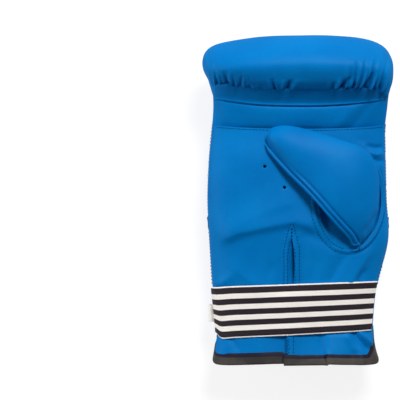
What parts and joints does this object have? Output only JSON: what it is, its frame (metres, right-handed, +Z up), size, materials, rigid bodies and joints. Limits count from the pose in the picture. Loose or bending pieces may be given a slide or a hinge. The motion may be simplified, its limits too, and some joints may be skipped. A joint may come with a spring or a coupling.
{
  "type": "punching glove",
  "caption": "Right-hand padded bag mitt with a quilted back, rolled fingertips, a stitched-on thumb and a striped elastic cuff strap.",
  "frame": {"origin": "middle of the mitt's length and width, on the surface it lies on", "axes": "+X across the mitt towards the thumb, +Y from the cuff to the fingertips, +Z up out of the palm"},
  "size_m": [0.1517, 0.2631, 0.075],
  "materials": {
    "leather": "semi-gloss grained",
    "elastic": "ribbed, striped black and white",
    "binding": "satin tape",
    "ribbon": "matte"
  },
  "bodies": {
    "root": {"knuckle_pad": "leather", "back_cuff": "leather", "back_welt": "leather", "finger_band": "leather", "finger_gusset": "leather", "palm_panel": "leather", "thumb": "leather", "thumb_piping": "leather", "wrist_strap": "elastic", "binding_back": "binding", "binding_palm_left": "binding", "binding_palm_right": "binding", "side_label": "ribbon"}
  },
  "joints": []
}
